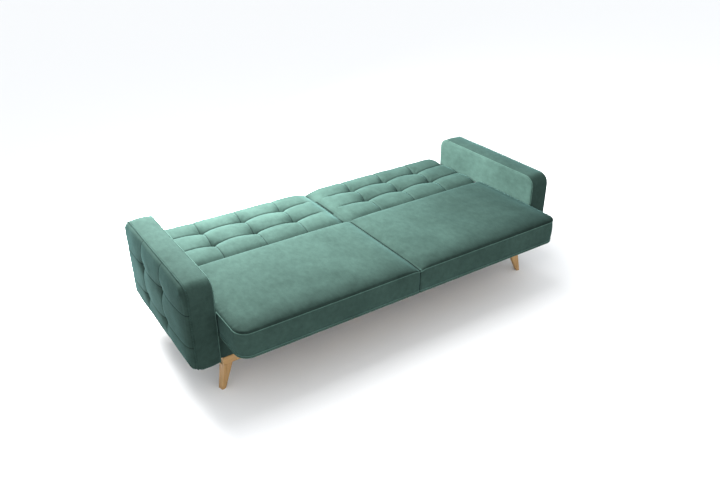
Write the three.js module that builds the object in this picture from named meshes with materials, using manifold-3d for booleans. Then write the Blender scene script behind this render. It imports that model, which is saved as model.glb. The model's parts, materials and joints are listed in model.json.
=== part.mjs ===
// Sofa bed in its flat bed position, in millimetres: X along its length, Y to the rear, Z up.
// The origin is on the floor, under the middle of the opened bed.
import * as THREE from 'three';
import * as BufferGeometryUtils from 'three/addons/utils/BufferGeometryUtils.js';
import Module from 'manifold-3d';

const wasm = await Module();
wasm.setup();

// ---- driving dimensions -------------------------------------------------------------------
const GAP = 0.3; // between pieces that touch

const BED_FRONT = -550; // front of the pulled-out seat
const BED_REAR = 550; // far edge of the flat back
const SEAT_REAR = 67; // where the seat ends and the back begins

const ARM_INNER = 948;
const ARM_WELT = 1065; // outer face of an arm, where its piping runs
const ARM_PAD = 1096; // top of the tufts on the outer pad
const ARM_FRONT = -340;
const ARM_REAR = 447;
const ARM_BOTTOM = 165;
const ARM_TOP = 595.5;
const ARM_CORNER = 52; // radius of the rounded top corners, seen from the side
const ARM_FOOT = 12; // radius of the bottom corners
const ARM_CORE = { x0: 984, x1: 1028, y0: -300, y1: 405, top: 555 };

const LEG_TOP = 127;
const RAIL_TOP = 167; // oak rails run from LEG_TOP to here
const RAIL_DEPTH = 60;
const RAIL_END = 932;
const BASE_FRONT = -310;
const BASE_REAR = 360;
const BASE_TOP = 295;
const BOARD = 22; // thickness of the base boards

const SEAT_BOTTOM = 305.5;
const FRAME_TOP = 340; // top of the seat and back frame rails
const DECK_TOP = 348;
const SEAT_EDGE_TOP = 431.5;
const SEAT_CROWN = 446;
const BACK_BOTTOM = 300;
const BACK_TOP = 432;
const CUSHION_END = 936;
const FRAME_END = 928;
const RAIL_WIDTH = 34;
const HALF_SPLIT = 1; // half of the slit between the left and right cushions

const PIVOT = { y: 97, z: 410 }; // hinge axis, parallel to X
const PLATE = 3; // thickness of the hinge plates
const SEAT_PLATE_X = 936.5;
const BACK_ARM_X = 940.5;
const RIVET_RADIUS = 5;
const RIVET_HOLE_RADIUS = 5.4;
const EYE_RADIUS = 13;

const CHANNEL = { x0: 904, wall: 3, bottom: 262, top: 290, front: -285, rear: 320 };
const RUNNER_FRONT = -270;
const RUNNER_REAR = 20;

// ---- materials ----------------------------------------------------------------------------
function material(color, roughness, metalness = 0) {
  return new THREE.MeshStandardMaterial({ color, roughness, metalness });
}

const velvet = material(0x4f8a78, 0.9);
const oak = material(0xc49a64, 0.55);
const timber = material(0xd8bd8e, 0.75);
const plywood = material(0xcfae7c, 0.7);
const darkCloth = material(0x1d1f20, 0.95);
const steel = material(0x8d9094, 0.35, 0.9);
const nylon = material(0xe8e6df, 0.5);

// ---- shape helpers ------------------------------------------------------------------------
const sofaBed = new THREE.Group();

function addPart(name, geometry, partMaterial) {
  const mesh = new THREE.Mesh(geometry, partMaterial);
  mesh.name = name;
  sofaBed.add(mesh);
}

// A board given by its low and high corners.
function board([x0, y0, z0], [x1, y1, z1]) {
  const geometry = new THREE.BoxGeometry(x1 - x0, y1 - y0, z1 - z0);
  return geometry.translate((x0 + x1) / 2, (y0 + y1) / 2, (z0 + z1) / 2);
}

// Mirrors a geometry across the YZ plane, and turns its triangles so that they still face outwards.
function mirrored(geometry) {
  const copy = BufferGeometryUtils.mergeVertices(geometry.clone().scale(-1, 1, 1));
  const corners = copy.index.array;
  for (let i = 0; i < corners.length; i += 3) {
    [corners[i + 1], corners[i + 2]] = [corners[i + 2], corners[i + 1]];
  }
  return copy;
}

// Adds a right-hand piece and its mirror image.
function addPair(name, geometry, partMaterial) {
  addPart(`right_${name}`, geometry, partMaterial);
  addPart(`left_${name}`, mirrored(geometry), partMaterial);
}

// Outline in Y and Z with one radius for each corner:
// front bottom, rear bottom, rear top, front top.
function roundedOutline(y0, z0, y1, z1, [frontBottom, rearBottom, rearTop, frontTop]) {
  const outline = new THREE.Shape();
  outline.moveTo(y0 + frontBottom, z0);
  outline.lineTo(y1 - rearBottom, z0);
  outline.absarc(y1 - rearBottom, z0 + rearBottom, rearBottom, -Math.PI / 2, 0, false);
  outline.absarc(y1 - rearTop, z1 - rearTop, rearTop, 0, Math.PI / 2, false);
  outline.absarc(y0 + frontTop, z1 - frontTop, frontTop, Math.PI / 2, Math.PI, false);
  outline.absarc(y0 + frontBottom, z0 + frontBottom, frontBottom, Math.PI, Math.PI * 1.5, false);
  return outline;
}

// Extrudes a Y-Z outline along X from x0 to x1. A bevel stays inside those limits.
function alongX(outline, x0, x1, bevel = 0, curveSegments = 6) {
  const geometry = new THREE.ExtrudeGeometry(outline, {
    depth: x1 - x0 - 2 * bevel,
    bevelEnabled: bevel > 0,
    bevelThickness: bevel,
    bevelSize: bevel,
    bevelOffset: -bevel,
    bevelSegments: 3,
    curveSegments,
  });
  const turn = new THREE.Matrix4().makeBasis(
    new THREE.Vector3(0, 1, 0),
    new THREE.Vector3(0, 0, 1),
    new THREE.Vector3(1, 0, 0),
  );
  return geometry.applyMatrix4(turn).translate(x0 + bevel, 0, 0);
}

// Extrudes an X-Z outline along Y from y0 to y1.
function alongY(points, y0, y1) {
  const outline = new THREE.Shape(points.map(([x, z]) => new THREE.Vector2(x, z)));
  const geometry = new THREE.ExtrudeGeometry(outline, { depth: y1 - y0, bevelEnabled: false });
  return geometry.rotateX(Math.PI / 2).translate(0, y1, 0);
}

function rodAlongX(radius, x0, x1, y, z, sides = 20) {
  const geometry = new THREE.CylinderGeometry(radius, radius, x1 - x0, sides);
  return geometry.rotateZ(-Math.PI / 2).translate((x0 + x1) / 2, y, z);
}

function toSolid(geometry) {
  const bare = geometry.clone();
  bare.deleteAttribute('normal');
  bare.deleteAttribute('uv');
  const merged = BufferGeometryUtils.mergeVertices(bare, 1e-4);
  return new wasm.Manifold(new wasm.Mesh({
    numProp: 3,
    vertProperties: new Float32Array(merged.attributes.position.array),
    triVerts: new Uint32Array(merged.index.array),
  }));
}

function toGeometry(solid) {
  const { vertProperties, triVerts } = solid.getMesh();
  const geometry = new THREE.BufferGeometry();
  geometry.setAttribute('position', new THREE.BufferAttribute(vertProperties, 3));
  geometry.setIndex(new THREE.BufferAttribute(triVerts, 1));
  geometry.computeVertexNormals();
  return geometry;
}

function cut(body, ...tools) {
  return toGeometry(tools.reduce((left, tool) => left.subtract(toSolid(tool)), toSolid(body)));
}

function join(body, ...others) {
  return toGeometry(others.reduce((whole, other) => whole.add(toSolid(other)), toSolid(body)));
}

// ---- oak underframe -----------------------------------------------------------------------
// A leg is a blade: wide along its splay, narrow across it, and thinner at the floor.
const LEG = {
  splayAngle: -17, // degrees from +X, towards the front outer corner
  foot: { x: 948, y: 303, width: 23, depth: 30 },
  head: { x: 909, y: 288, width: 54, depth: 36 },
  cornerRadius: 4,
};

function legSection({ x, y, width, depth }, z) {
  const angle = THREE.MathUtils.degToRad(LEG.splayAngle);
  const radius = LEG.cornerRadius;
  const points = [];
  for (const [sideU, sideV, start] of [[1, -1, -90], [1, 1, 0], [-1, 1, 90], [-1, -1, 180]]) {
    for (const step of [0, 45, 90]) {
      const turn = THREE.MathUtils.degToRad(start + step);
      const u = sideU * (width / 2 - radius) + radius * Math.cos(turn);
      const v = sideV * (depth / 2 - radius) + radius * Math.sin(turn);
      const px = x + u * Math.cos(angle) - v * Math.sin(angle);
      const py = -y + u * Math.sin(angle) + v * Math.cos(angle);
      points.push(new THREE.Vector3(px, py, z));
    }
  }
  return points;
}

function loft(low, high) {
  const count = low.length;
  const triangles = [];
  for (let i = 0; i < count; i += 1) {
    const next = (i + 1) % count;
    triangles.push(i, next, count + next, i, count + next, count + i);
  }
  for (let i = 1; i < count - 1; i += 1) {
    triangles.push(0, i + 1, i, count, count + i, count + i + 1);
  }
  const geometry = new THREE.BufferGeometry().setFromPoints([...low, ...high]);
  geometry.setIndex(triangles);
  geometry.computeVertexNormals();
  return geometry;
}

// A hanger bolt stands in each leg's head and runs up into the rail.
const LEG_BOLT = { radius: 5, holeRadius: 5.4, low: 92, high: 158, play: 1 };

function legBolt(radius, y, play = 0) {
  const { low, high } = LEG_BOLT;
  const bolt = new THREE.CylinderGeometry(radius, radius, high - low + 2 * play, 20);
  return bolt.rotateX(Math.PI / 2).translate(LEG.head.x, y, (low + high) / 2);
}

const FRONT_BOLT_Y = -LEG.head.y;
const REAR_SHIFT = BASE_FRONT + BASE_REAR; // a front piece turned about Z lands this far short
const REAR_BOLT_Y = REAR_SHIFT - FRONT_BOLT_Y;

function addLegs() {
  const blade = loft(legSection(LEG.foot, 0), legSection(LEG.head, LEG_TOP - GAP));
  const front = cut(blade, legBolt(LEG_BOLT.holeRadius, FRONT_BOLT_Y, LEG_BOLT.play));
  const rear = mirrored(front).rotateZ(Math.PI).translate(0, REAR_SHIFT, 0);
  addPair('front_leg', front, oak);
  addPair('rear_leg', rear, oak);
  addPair('front_leg_bolt', legBolt(LEG_BOLT.radius, FRONT_BOLT_Y), steel);
  addPair('rear_leg_bolt', legBolt(LEG_BOLT.radius, REAR_BOLT_Y), steel);
}

function addOakRail(name, y0, y1, boltY) {
  const outline = roundedOutline(y0, LEG_TOP, y1, RAIL_TOP - GAP, [2, 2, 2, 2]);
  const rail = alongX(outline, -RAIL_END, RAIL_END, 0, 2);
  const hole = legBolt(LEG_BOLT.holeRadius, boltY, LEG_BOLT.play);
  addPart(name, cut(rail, hole, mirrored(hole)), oak);
}

function addUnderframe() {
  addOakRail('front_oak_rail', BASE_FRONT, BASE_FRONT + RAIL_DEPTH, FRONT_BOLT_Y);
  addOakRail('rear_oak_rail', BASE_REAR - RAIL_DEPTH, BASE_REAR, REAR_BOLT_Y);
}

// ---- base box -----------------------------------------------------------------------------
const SIDE_BOARD = { x0: ARM_INNER - GAP - BOARD, x1: ARM_INNER - GAP };

function addBase() {
  const inner = SIDE_BOARD.x0 - GAP;
  const frontInside = BASE_FRONT + BOARD;
  const rearInside = BASE_REAR - BOARD;
  const apron = roundedOutline(BASE_FRONT, RAIL_TOP, frontInside, BASE_TOP, [2, 1, 4, 6]);
  addPart('front_apron', alongX(apron, -SIDE_BOARD.x1, SIDE_BOARD.x1, 0, 3), velvet);
  addPart('rear_board', board(
    [-SIDE_BOARD.x1, rearInside, RAIL_TOP],
    [SIDE_BOARD.x1, BASE_REAR, BASE_TOP],
  ), velvet);
  addPart('base_centre_beam', board(
    [-20, frontInside + GAP, RAIL_TOP + 3],
    [20, rearInside - GAP, 262],
  ), timber);
  addPart('dust_cover', board(
    [-inner, BASE_FRONT + RAIL_DEPTH + GAP, RAIL_TOP - 2.5],
    [inner, BASE_REAR - RAIL_DEPTH - GAP, RAIL_TOP],
  ), darkCloth);
}

// ---- arms ---------------------------------------------------------------------------------
const ARM_BOLTS = [-180, 220]; // their places along Y
const ARM_BOLT_Z = 230;
const BOLT_RADIUS = 4;
const BOLT_HOLE_RADIUS = 4.5;
const BOLT_END = ARM_CORE.x0 + 30;
const BOLT_HEAD = 3;
const BOLT_HEAD_RADIUS = 9;

function boltHoles(x0, x1) {
  return ARM_BOLTS.map((y) => rodAlongX(BOLT_HOLE_RADIUS, x0, x1, y, ARM_BOLT_Z));
}

function addArms() {
  const { x0, x1, y0, y1, top } = ARM_CORE;
  const core = board([x0 + GAP, y0, ARM_BOTTOM + 5], [x1 - GAP, y1, top]);
  addPair('arm_core', cut(core, ...boltHoles(x0, BOLT_END + GAP)), timber);

  const corners = [ARM_FOOT, ARM_FOOT, ARM_CORNER, ARM_CORNER];
  const outline = roundedOutline(ARM_FRONT, ARM_BOTTOM, ARM_REAR, ARM_TOP, corners);
  const block = alongX(outline, ARM_INNER, ARM_WELT, 5);
  const pocket = board([x0, y0 - GAP, ARM_BOTTOM - 1], [x1, y1 + GAP, top + GAP]);
  const cover = cut(block, pocket, ...boltHoles(ARM_INNER - 1, x0 + 1));
  addPair('arm_cover', cover, velvet);

  const inset = 4;
  const padRoll = 22; // the pad's rolled edge
  const padCorner = ARM_CORNER - inset;
  const padFoot = padRoll + 2;
  const padOutline = roundedOutline(
    ARM_FRONT + inset, ARM_BOTTOM + inset, ARM_REAR - inset, ARM_TOP - inset,
    [padFoot, padFoot, padCorner, padCorner],
  );
  const padDepth = ARM_PAD - ARM_WELT;
  const pad = alongX(padOutline, ARM_WELT + GAP - padDepth, ARM_PAD, padRoll);
  const behindWelt = board([ARM_WELT - 100, -600, 0], [ARM_WELT + GAP, 600, 700]);
  addPair('arm_outer_pad', cut(pad, behindWelt), velvet);
}

function addSideBoardsAndBolts() {
  const { x0, x1 } = SIDE_BOARD;
  const frontEnd = BASE_FRONT + BOARD + GAP;
  const rearEnd = BASE_REAR - BOARD - GAP;
  const side = board([x0, frontEnd, RAIL_TOP], [x1, rearEnd, BASE_TOP]);
  addPair('side_board', cut(side, ...boltHoles(x0 - 1, x1 + 1)), timber);
  for (const [place, y] of [['front', ARM_BOLTS[0]], ['rear', ARM_BOLTS[1]]]) {
    const shank = rodAlongX(BOLT_RADIUS, x0 - 1, BOLT_END, y, ARM_BOLT_Z);
    const head = rodAlongX(BOLT_HEAD_RADIUS, x0 - GAP - BOLT_HEAD, x0 - GAP, y, ARM_BOLT_Z);
    addPair(`arm_bolt_${place}`, join(head, shank), steel);
  }
}

// ---- slides -------------------------------------------------------------------------------
const SLIDE_X1 = SIDE_BOARD.x0 - GAP; // outer face of a channel, against its side board
const RUNNER = { x0: 889, mouth: 892, x1: 914, low: 273, high: 279 };

function addSlides() {
  const { x0, wall, bottom, top, front, rear } = CHANNEL;
  const channel = alongY([
    [x0, bottom], [SLIDE_X1, bottom], [SLIDE_X1, top], [x0, top],
    [x0, top - wall], [SLIDE_X1 - wall, top - wall],
    [SLIDE_X1 - wall, bottom + wall], [x0, bottom + wall],
  ], front, rear);
  addPair('slide_channel', channel, steel);

  const { low, high, mouth, x1 } = RUNNER;
  const runner = alongY([
    [RUNNER.x0, low], [x1, low], [x1, high], [mouth, high],
    [mouth, SEAT_BOTTOM - GAP], [RUNNER.x0, SEAT_BOTTOM - GAP],
  ], RUNNER_FRONT, RUNNER_REAR);
  addPair('slide_runner', runner, steel);

  // Nylon glides wrap the runner's edge and fill the channel with a little play.
  const play = 0.8;
  const places = { front: RUNNER_FRONT + 20, rear: RUNNER_REAR - 60 };
  for (const [place, y] of Object.entries(places)) {
    const block = board(
      [RUNNER.x1 - 8, y, bottom + wall + play],
      [SLIDE_X1 - wall - play, y + 40, top - wall - play],
    );
    const slot = board([RUNNER.x1 - 9, y - 1, low - GAP], [x1 + GAP, y + 41, high + GAP]);
    addPair(`glide_${place}`, cut(block, slot), nylon);
  }
}

// ---- frames shared by the seat and the back -----------------------------------------------
// Two long rails, two end rails and a centre rail, from z0 to z1 and y0 to y1.
// waste holds what is cut away from the near corners.
function addFrame(prefix, y0, y1, z0, z1, [frontName, rearName, endName], waste = []) {
  const low = y0 + RAIL_WIDTH;
  const high = y1 - RAIL_WIDTH;
  const frontRail = board([-FRAME_END, y0, z0], [FRAME_END, low, z1]);
  addPart(`${prefix}_${frontName}`, cut(frontRail, ...waste, ...waste.map(mirrored)), timber);
  addPart(`${prefix}_${rearName}`, board([-FRAME_END, high, z0], [FRAME_END, y1, z1]), timber);
  const endRail = board(
    [FRAME_END - RAIL_WIDTH - 8, low + GAP, z0],
    [FRAME_END, high - GAP, z1],
  );
  addPair(`${prefix}_${endName}`, cut(endRail, ...waste), timber);
  const half = RAIL_WIDTH / 2;
  const centre = board([-half, low + GAP, z0], [half, high - GAP, z1]);
  addPart(`${prefix}_centre_rail`, centre, timber);
}

function addDecks(prefix, y0, y1, waste = []) {
  const deck = board([HALF_SPLIT, y0, FRAME_TOP + GAP], [FRAME_END, y1, DECK_TOP]);
  addPair(`${prefix}_deck`, cut(deck, ...waste), plywood);
}

// ---- seat ---------------------------------------------------------------------------------
const COVER = 8; // cover and wadding outside the frame
const SEAT_CORNER = 52; // radius of the front outer corners, seen from above

function addSeat() {
  const frameFront = BED_FRONT + COVER + 6;
  const frameRear = SEAT_REAR - COVER;
  const frameCorner = roundedFrontCorner(FRAME_END, frameFront, SEAT_CORNER - COVER);
  const railNames = ['front_rail', 'rear_rail', 'side_rail'];
  addFrame('seat', frameFront, frameRear, SEAT_BOTTOM, FRAME_TOP, railNames, [frameCorner]);
  addDecks('seat', frameFront, frameRear, [frameCorner]);

  const middle = (SEAT_REAR + BED_FRONT) / 2;
  const outline = new THREE.Shape();
  outline.moveTo(BED_FRONT, DECK_TOP + GAP);
  outline.lineTo(SEAT_REAR, DECK_TOP + GAP);
  outline.lineTo(SEAT_REAR, SEAT_EDGE_TOP - 8);
  outline.quadraticCurveTo(SEAT_REAR, SEAT_EDGE_TOP, SEAT_REAR - 10, SEAT_EDGE_TOP + 2);
  outline.quadraticCurveTo(middle, 2 * SEAT_CROWN - SEAT_EDGE_TOP, BED_FRONT + 10, SEAT_EDGE_TOP);
  outline.quadraticCurveTo(BED_FRONT, SEAT_EDGE_TOP - 2, BED_FRONT, SEAT_EDGE_TOP - 12);
  const cushion = alongX(outline, HALF_SPLIT, CUSHION_END, 0, 8);
  const corner = roundedFrontCorner(CUSHION_END, BED_FRONT, SEAT_CORNER);
  addPair('seat_cushion', cut(cushion, corner), velvet);
}

// What is cut away to round a corner at X = end and Y = front, seen from above.
function roundedFrontCorner(end, front, radius) {
  const waste = new THREE.Shape();
  waste.moveTo(end - radius, front - 20);
  waste.lineTo(end + 20, front - 20);
  waste.lineTo(end + 20, front + radius);
  waste.lineTo(end, front + radius);
  waste.absarc(end - radius, front + radius, radius, 0, -Math.PI / 2, true);
  const block = new THREE.ExtrudeGeometry(waste, { depth: 300, bevelEnabled: false, curveSegments: 6 });
  return block.translate(0, 0, 250);
}

// ---- folding back -------------------------------------------------------------------------
function addBack() {
  const near = SEAT_REAR + 4;
  const panelTop = BACK_BOTTOM + 4;
  const frameNear = near + 6;
  const frameFar = BED_REAR - COVER - 6;
  addPart('back_rear_panel', board(
    [-FRAME_END, frameNear, BACK_BOTTOM],
    [FRAME_END, frameFar, panelTop],
  ), velvet);
  addFrame('back', frameNear, frameFar, panelTop + GAP, FRAME_TOP, ['near_rail', 'far_rail', 'stile']);
  addDecks('back', frameNear, frameFar);

  const outline = roundedOutline(near, DECK_TOP + GAP, BED_REAR, BACK_TOP, [8, 14, 40, 26]);
  addPair('back_cushion', alongX(outline, HALF_SPLIT, CUSHION_END, 0, 6), velvet);
}

// ---- hinges -------------------------------------------------------------------------------
function outlineThrough(points) {
  return new THREE.Shape(points.map(([y, z]) => new THREE.Vector2(y, z)));
}

function hingeEye(x0) {
  return rodAlongX(EYE_RADIUS, x0, x0 + PLATE, PIVOT.y, PIVOT.z, 28);
}

function rivetHole(x0) {
  return rodAlongX(RIVET_HOLE_RADIUS, x0 - 1, x0 + PLATE + 1, PIVOT.y, PIVOT.z, 24);
}

function addHinges() {
  const seatLink = outlineThrough([
    [-90, 314], [20, 314], [PIVOT.y + 8, PIVOT.z - 10],
    [PIVOT.y - 10, PIVOT.z + 8], [0, 336], [-90, 336],
  ]);
  const seatPlate = alongX(seatLink, SEAT_PLATE_X, SEAT_PLATE_X + PLATE);
  const plate = cut(join(seatPlate, hingeEye(SEAT_PLATE_X)), rivetHole(SEAT_PLATE_X));
  addPair('seat_hinge_plate', plate, steel);

  const backLink = outlineThrough([
    [PIVOT.y - 8, PIVOT.z - 10], [200, 312], [300, 312],
    [300, 334], [210, 334], [PIVOT.y + 8, PIVOT.z + 10],
  ]);
  const backPlate = alongX(backLink, BACK_ARM_X, BACK_ARM_X + PLATE);
  const spacer = board([FRAME_END + GAP, 215, 315], [BACK_ARM_X + 1, 295, 331]);
  const arm = cut(join(backPlate, hingeEye(BACK_ARM_X), spacer), rivetHole(BACK_ARM_X));
  addPair('back_hinge_arm', arm, steel);

  const shank = rodAlongX(RIVET_RADIUS, SEAT_PLATE_X + GAP, BACK_ARM_X + PLATE + 1, PIVOT.y, PIVOT.z);
  const head = rodAlongX(9, BACK_ARM_X + PLATE + GAP, BACK_ARM_X + PLATE + 2.5, PIVOT.y, PIVOT.z);
  addPair('hinge_rivet', join(head, shank), steel);
}

// ---- assembly -----------------------------------------------------------------------------
addLegs();
addUnderframe();
addBase();
addSideBoardsAndBolts();
addArms();
addSlides();
addSeat();
addBack();
addHinges();

export default sofaBed;
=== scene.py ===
import json
import math

import bmesh
import bpy
import numpy as np
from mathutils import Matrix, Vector


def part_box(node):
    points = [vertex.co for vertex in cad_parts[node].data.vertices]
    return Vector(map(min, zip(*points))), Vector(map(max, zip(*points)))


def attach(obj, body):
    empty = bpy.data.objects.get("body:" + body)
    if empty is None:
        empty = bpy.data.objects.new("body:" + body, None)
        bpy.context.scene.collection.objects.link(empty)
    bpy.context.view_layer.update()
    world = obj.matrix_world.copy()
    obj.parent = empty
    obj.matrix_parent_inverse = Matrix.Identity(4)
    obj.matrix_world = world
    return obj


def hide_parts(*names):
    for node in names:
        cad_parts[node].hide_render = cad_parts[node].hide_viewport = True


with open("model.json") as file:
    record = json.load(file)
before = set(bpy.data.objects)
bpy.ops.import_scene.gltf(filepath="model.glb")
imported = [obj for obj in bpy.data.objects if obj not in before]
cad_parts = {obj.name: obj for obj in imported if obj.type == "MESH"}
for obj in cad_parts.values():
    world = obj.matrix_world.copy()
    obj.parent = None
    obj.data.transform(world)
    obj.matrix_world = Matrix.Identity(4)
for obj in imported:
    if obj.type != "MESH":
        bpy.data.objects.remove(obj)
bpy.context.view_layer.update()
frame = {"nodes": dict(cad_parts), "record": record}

# ---- places taken from the frame ----------------------------------------------------------
SEAT_LOW, SEAT_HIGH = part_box("right_seat_cushion")
BACK_LOW, BACK_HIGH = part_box("right_back_cushion")
ARM_LOW, ARM_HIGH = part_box("right_arm_cover")
PAD_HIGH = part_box("right_arm_outer_pad")[1]
SEAT_FRAME_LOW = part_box("seat_front_rail")[0]
BACK_PANEL_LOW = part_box("back_rear_panel")[0]

SIDES = {"right": 1, "left": -1}
HINGE_INNER, HINGE_FRONT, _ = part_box("right_seat_hinge_plate")[0]
_, HINGE_REAR, HINGE_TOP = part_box("right_back_hinge_arm")[1]
CUSHION_END = ARM_LOW.x - 0.005  # covers swell almost to the arms
MIDDLE_GAP = 0.0002  # from the middle plane to each half's cover
UNDERSIDE_Z = SEAT_LOW.z + 0.0008  # where a cover closes, just above its deck
DECK_CLEAR = UNDERSIDE_Z - SEAT_FRAME_LOW.z
WELT_ROOM = 0.0036  # kept free beside the hinge plates, for the piping
HINGE_BLEND = 0.02  # length over which a cushion's end draws in to clear the hinge
HINGE_FADE = 0.006  # height over which it comes out again above the hinge
MIDDLE_TUCK = 0.05  # share of a hem's inset that is left where two cushions meet
SEED = 7


# ---- numbers ------------------------------------------------------------------------------
def cusp(distance, reach):
    """1 on a seam, falling to 0 at reach, with a crease at the seam itself."""
    return np.clip(1 - np.abs(distance) / reach, 0, 1) ** 2


def rise(distance, reach):
    """0 at an edge, growing smoothly to 1 within a few times reach."""
    return 1 - np.exp(-np.maximum(distance, 0) / reach)


def bell(distance, reach):
    return np.exp(-((distance / reach) ** 2))


def ripple(points, wavelength, seed, waves=7):
    """Smooth wandering between about -1 and 1, the same for the same point and seed."""
    random = np.random.default_rng(seed)
    total = np.zeros(len(points))
    for _ in range(waves):
        direction = random.normal(size=3)
        direction /= np.linalg.norm(direction)
        length = wavelength * random.uniform(0.6, 1.6)
        phase = random.uniform(0, 2 * math.pi)
        total += np.sin(points @ direction * (2 * math.pi / length) + phase)
    return total / math.sqrt(waves * 0.5) / 2


def ticks(keys, cell):
    """Positions through all the keys, about one cell apart."""
    out = [keys[0]]
    for low, high in zip(keys, keys[1:]):
        steps = max(1, round((high - low) / cell))
        out.extend(low + (high - low) * (k + 1) / steps for k in range(steps))
    return np.array(out)


STITCH_HALF = 0.0028  # half the width of a line of stitching


def around_lines(lines, low, high):
    """The lines with a close neighbour on each side, for a crisp crease, between two ends."""
    return [low, *(line + k * STITCH_HALF for line in lines for k in (-1, 0, 1)), high]


# ---- mesh builders ------------------------------------------------------------------------
def new_object(name, vertices, faces, smooth=True):
    mesh = bpy.data.meshes.new(name)
    mesh.from_pydata([tuple(v) for v in vertices], [], faces)
    shaped = bmesh.new()
    shaped.from_mesh(mesh)
    bmesh.ops.recalc_face_normals(shaped, faces=shaped.faces)
    shaped.to_mesh(mesh)
    shaped.free()
    mesh.polygons.foreach_set("use_smooth", [smooth] * len(mesh.polygons))
    piece = bpy.data.objects.new(name, mesh)
    bpy.context.scene.collection.objects.link(piece)
    return piece


def points_of(piece):
    flat = np.zeros(len(piece.data.vertices) * 3)
    piece.data.vertices.foreach_get("co", flat)
    return flat.reshape(-1, 3)


def set_points(piece, points):
    piece.data.vertices.foreach_set("co", points.ravel())
    piece.data.update()


def normals_of(piece):
    flat = np.zeros(len(piece.data.vertices) * 3)
    piece.data.vertex_normals.foreach_get("vector", flat)
    return flat.reshape(-1, 3)


def round_corners(s, t, size, radii):
    """Pulls a rectangle's grid in to rounded corners.

    Returns the points, and the outward direction of those on the outline."""
    across, along = size
    out_s = np.where(s >= across - 1e-9, 1.0, np.where(s <= 1e-9, -1.0, 0.0))
    out_t = np.where(t >= along - 1e-9, 1.0, np.where(t <= 1e-9, -1.0, 0.0))
    new_s, new_t = s.copy(), t.copy()
    for (side_s, side_t), radius in zip(((-1, -1), (1, -1), (1, 1), (-1, 1)), radii):
        centre_s = across - radius if side_s > 0 else radius
        centre_t = along - radius if side_t > 0 else radius
        ds, dt = (s - centre_s) * side_s, (t - centre_t) * side_t
        zone = (ds > 1e-9) & (dt > 1e-9)
        length = np.maximum(np.hypot(ds, dt), 1e-9)
        pull = np.where(zone, np.maximum(ds, dt) / length, 1)
        new_s = np.where(zone, centre_s + side_s * ds * pull, new_s)
        new_t = np.where(zone, centre_t + side_t * dt * pull, new_t)
        out_s = np.where(zone, side_s * ds / length, out_s)
        out_t = np.where(zone, side_t * dt / length, out_t)
    return new_s, new_t, out_s, out_t


class Pad:
    """A closed pad: a grid over its face, then rings round its edge, closed by one flat face.

    edge holds the rolled edge's width on the low-s, high-s, low-t and high-t sides.
    Each ring is (share of that width, inset from the outline, drop below the face).
    place turns arrays of s, t and height into an array of points.
    radii are the corners' radii, and square says how far each corner keeps its point,
    both in the order low-low, high-low, high-high, low-high.
    tuck is the share of each inset that is kept on the low-s side."""

    def __init__(
        self, name, keys_s, keys_t, cell, radii, edge, rings, place, square=(0, 0, 0, 0), tuck=1.0
    ):
        size = (keys_s[-1], keys_t[-1])
        low_s, high_s, low_t, high_t = edge
        inner = (size[0] - low_s - high_s, size[1] - low_t - high_t)
        s = ticks(self.inside(keys_s, low_s, high_s), cell)
        t = ticks(self.inside(keys_t, low_t, high_t), cell)
        grid_s, grid_t = np.meshgrid(s, t, indexing="ij")
        grid_s, grid_t, out_s, out_t = round_corners(grid_s, grid_t, inner, radii)
        rows, columns = grid_s.shape
        index = np.arange(rows * columns).reshape(rows, columns)
        loop = np.concatenate([index[:-1, 0], index[-1, :-1], index[:0:-1, -1], index[0, :0:-1]])
        faces = np.stack([index[:-1, :-1], index[1:, :-1], index[1:, 1:], index[:-1, 1:]], -1)
        faces = faces.reshape(-1, 4).tolist()

        flat_s, flat_t = grid_s.ravel() + low_s, grid_t.ravel() + low_t
        loop_s, loop_t = flat_s[loop], flat_t[loop]
        normal_s, normal_t = out_s.ravel()[loop], out_t.ravel()[loop]
        corner = np.where(normal_t > 0, np.where(normal_s > 0, 2, 3), np.where(normal_s > 0, 1, 0))
        point = 1 / np.maximum(np.abs(normal_s), np.abs(normal_t))
        point = 1 + np.array(square)[corner] * (point - 1)
        radius = np.array(radii)[corner]
        width_s = (np.where(normal_s > 0, high_s, low_s) + radius) * point - radius
        width_t = (np.where(normal_t > 0, high_t, low_t) + radius) * point - radius
        layers = [place(flat_s, flat_t, np.zeros(len(flat_s)))]
        self.loops = [loop]
        self.counts = (rows - 1, columns - 1)
        first = len(flat_s)
        kept = np.where(normal_s < 0, tuck, 1)
        for share, inset, drop in rings:
            ring_s = loop_s + normal_s * (width_s * share - inset * point * kept)
            ring_t = loop_t + normal_t * (width_t * share - inset * point)
            layers.append(place(ring_s, ring_t, np.full(len(loop), -drop)))
            ring = np.arange(first, first + len(loop))
            first += len(loop)
            above, below = self.loops[-1], ring
            turned = np.stack([above, np.roll(above, -1), np.roll(below, -1), below], -1)
            faces.extend(turned.tolist())
            self.loops.append(ring)
        faces.append(self.loops[-1].tolist())
        self.piece = new_object(name, np.concatenate(layers), faces)
        self.level = np.zeros(first, int)  # 0 on the face, then the number of each ring
        for number, ring in enumerate(self.loops[1:], 1):
            self.level[ring] = number

    @staticmethod
    def inside(keys, low, high, margin=0.004):
        """The keys that lie on the flat of the face, measured from its own low edge."""
        kept = [k - low for k in keys[1:-1] if low + margin < k < keys[-1] - high - margin]
        return [0, *kept, keys[-1] - low - high]

    def push(self, amount):
        """Moves every point along its own normal."""
        set_points(self.piece, points_of(self.piece) + normals_of(self.piece) * amount[:, None])

    def line(self, ring, start=0, stop=None):
        """The points of one ring, or a stretch of it counted in sides of the grid."""
        points = points_of(self.piece)[self.loops[ring]]
        return points if stop is None else points[start:stop]


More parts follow.
